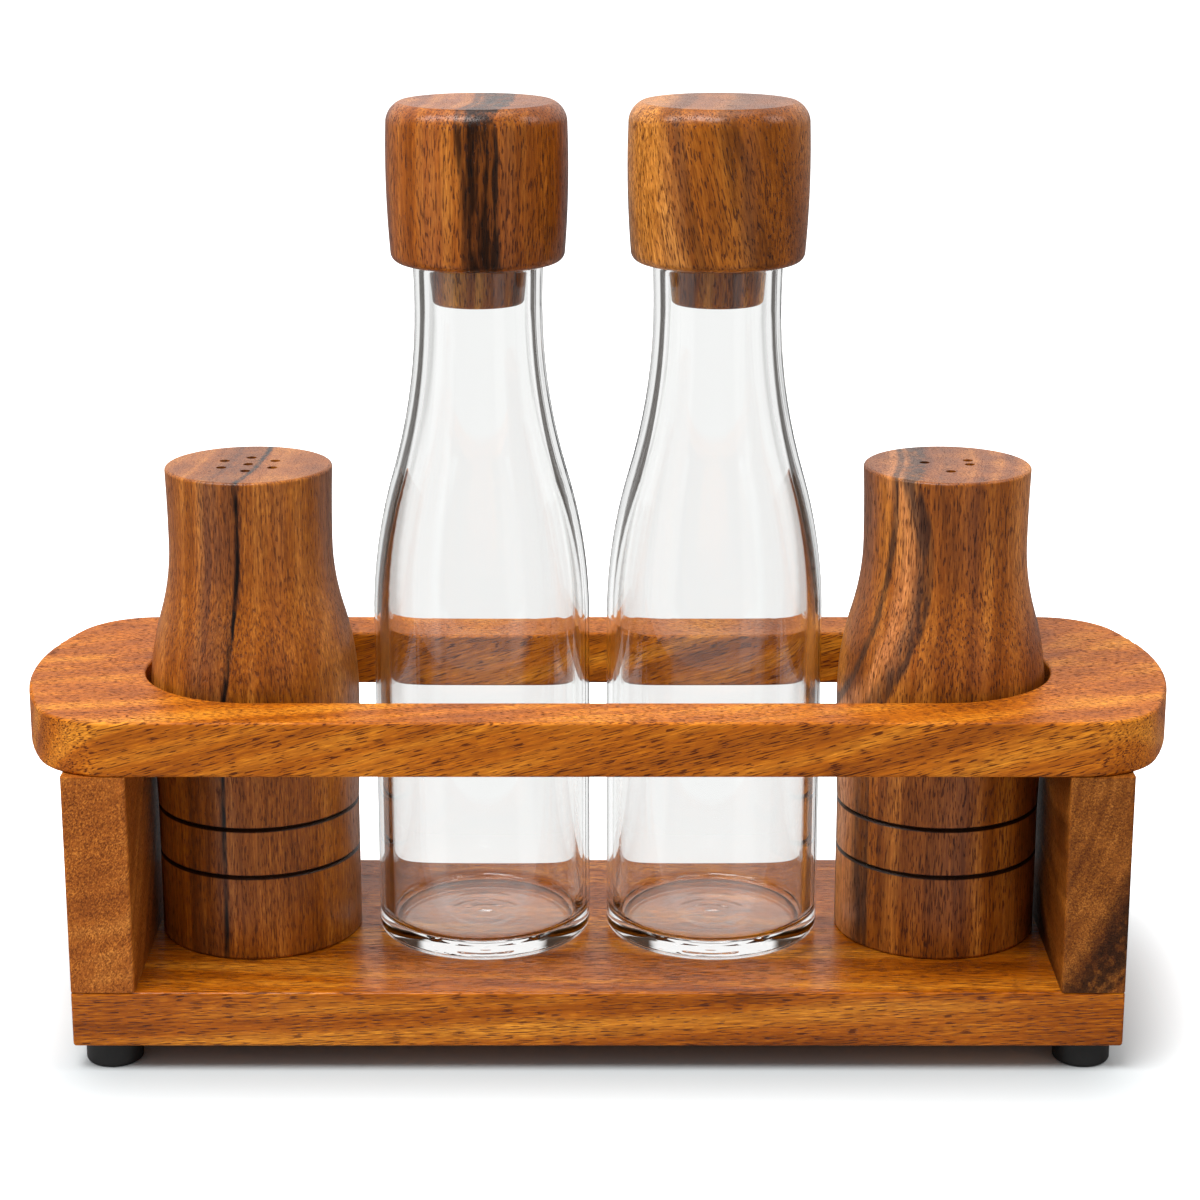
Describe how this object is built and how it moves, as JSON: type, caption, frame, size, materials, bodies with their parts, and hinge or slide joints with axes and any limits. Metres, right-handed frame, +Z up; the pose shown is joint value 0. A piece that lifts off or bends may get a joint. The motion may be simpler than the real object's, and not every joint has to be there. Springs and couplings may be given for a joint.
{
  "type": "condiment set",
  "caption": "Wooden table caddy with a slotted top rail that holds glass oil and vinegar bottles with wooden stoppers and turned wooden salt and pepper shakers.",
  "frame": {"origin": "on the surface it stands on, under the middle of the caddy", "axes": "+X along the row of vessels from the left shaker to the right one, -Y to the front, +Z up"},
  "size_m": [0.31, 0.1, 0.2524],
  "materials": {
    "base_wood": "satin lacquer",
    "panel_wood": "satin lacquer",
    "rail_wood": "satin lacquer",
    "shaker_wood": "satin lacquer",
    "knob_wood": "satin lacquer",
    "plug_wood": "satin lacquer",
    "dowel_wood": "satin lacquer",
    "bottle_glass": "clear, polished",
    "foot_rubber": "satin",
    "screw_steel": "zinc plated",
    "filler_silicone": "matt, milky"
  },
  "bodies": {
    "caddy": {"base_board": "base_wood", "left_end_panel": "panel_wood", "right_end_panel": "panel_wood", "top_rail": "rail_wood", "rail_dowels": "dowel_wood", "panel_screws": "screw_steel", "foot_screws": "screw_steel", "front_left_foot": "foot_rubber", "front_right_foot": "foot_rubber", "back_left_foot": "foot_rubber", "back_right_foot": "foot_rubber"},
    "left_bottle": {"left_bottle": "bottle_glass"},
    "left_stopper": {"left_stopper_knob": "knob_wood", "left_stopper_plug": "plug_wood"},
    "right_bottle": {"right_bottle": "bottle_glass"},
    "right_stopper": {"right_stopper_knob": "knob_wood", "right_stopper_plug": "plug_wood"},
    "salt_filler": {"salt_filler_plug": "filler_silicone"},
    "salt_shaker": {"salt_shaker": "shaker_wood"},
    "pepper_filler": {"pepper_filler_plug": "filler_silicone"},
    "pepper_shaker": {"pepper_shaker": "shaker_wood"}
  },
  "joints": [
    {"name": "left_bottle_lift", "type": "slide", "parent": "caddy", "child": "left_bottle", "axis": [0, 0, 1], "range_m": [0, 0.09]},
    {"name": "left_stopper_pull", "type": "slide", "parent": "left_bottle", "child": "left_stopper", "axis": [0, 0, 1], "range_m": [0, 0.03]},
    {"name": "right_bottle_lift", "type": "slide", "parent": "caddy", "child": "right_bottle", "axis": [0, 0, 1], "range_m": [0, 0.09]},
    {"name": "right_stopper_pull", "type": "slide", "parent": "right_bottle", "child": "right_stopper", "axis": [0, 0, 1], "range_m": [0, 0.03]},
    {"name": "salt_shaker_lift", "type": "slide", "parent": "caddy", "child": "salt_filler", "axis": [0, 0, 1], "range_m": [0, 0.09]},
    {"name": "salt_filler_release", "type": "slide", "parent": "salt_filler", "child": "salt_shaker", "axis": [0, 0, 1], "range_m": [0, 0.025]},
    {"name": "pepper_shaker_lift", "type": "slide", "parent": "caddy", "child": "pepper_filler", "axis": [0, 0, 1], "range_m": [0, 0.09]},
    {"name": "pepper_filler_release", "type": "slide", "parent": "pepper_filler", "child": "pepper_shaker", "axis": [0, 0, 1], "range_m": [0, 0.025]}
  ]
}
